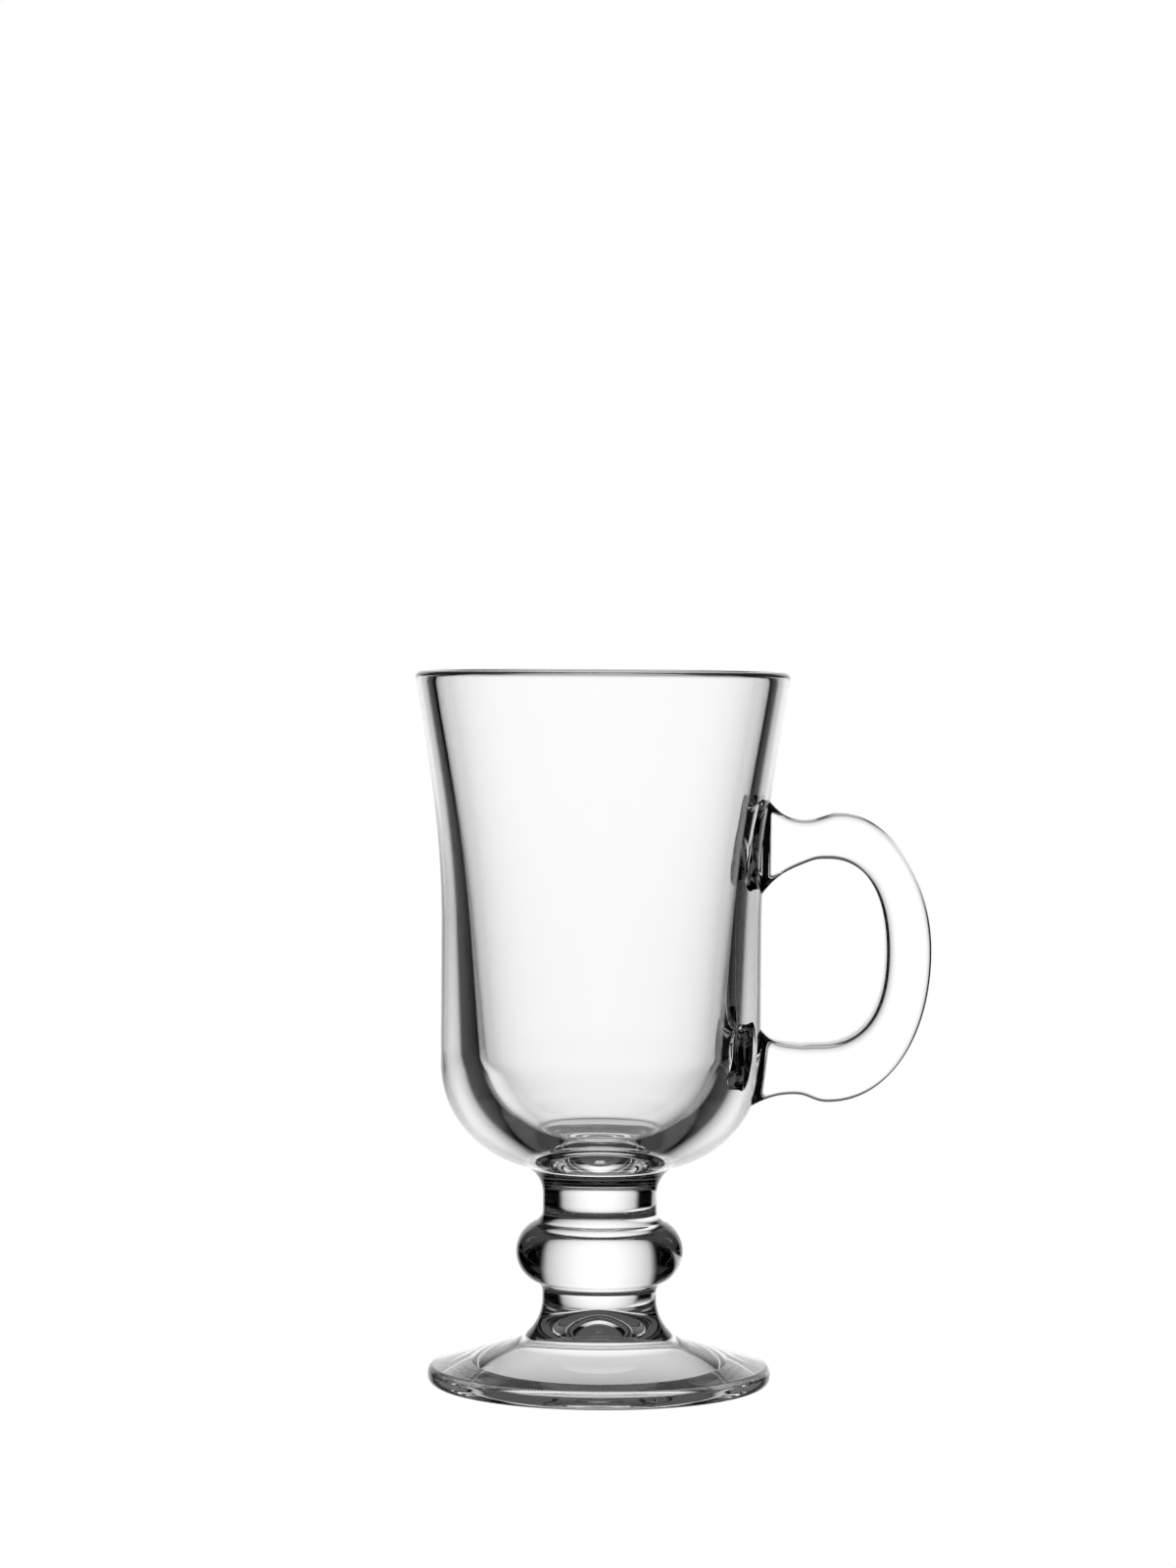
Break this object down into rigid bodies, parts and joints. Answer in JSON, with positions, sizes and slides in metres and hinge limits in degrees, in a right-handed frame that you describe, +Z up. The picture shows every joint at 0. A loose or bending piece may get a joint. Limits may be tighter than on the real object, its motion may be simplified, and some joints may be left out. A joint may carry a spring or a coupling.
{
  "type": "irish coffee mug",
  "caption": "Clear pressed-glass mug for irish coffee: a flared bowl with a side handle, on a knopped stem and a round foot.",
  "frame": {"origin": "middle of the plane that the foot stands on, on the axis of the bowl and stem", "axes": "+Z up along the axis of the bowl, +X towards the handle, +Y across the handle's flat sides"},
  "size_m": [0.1076, 0.078, 0.1489],
  "materials": {
    "bowl_glass": "clear, fire polished",
    "handle_glass": "clear, pressed",
    "stem_glass": "clear, pressed",
    "foot_glass": "clear, pressed"
  },
  "bodies": {
    "root": {"bowl": "bowl_glass", "handle": "handle_glass", "stem": "stem_glass", "foot": "foot_glass"}
  },
  "joints": []
}
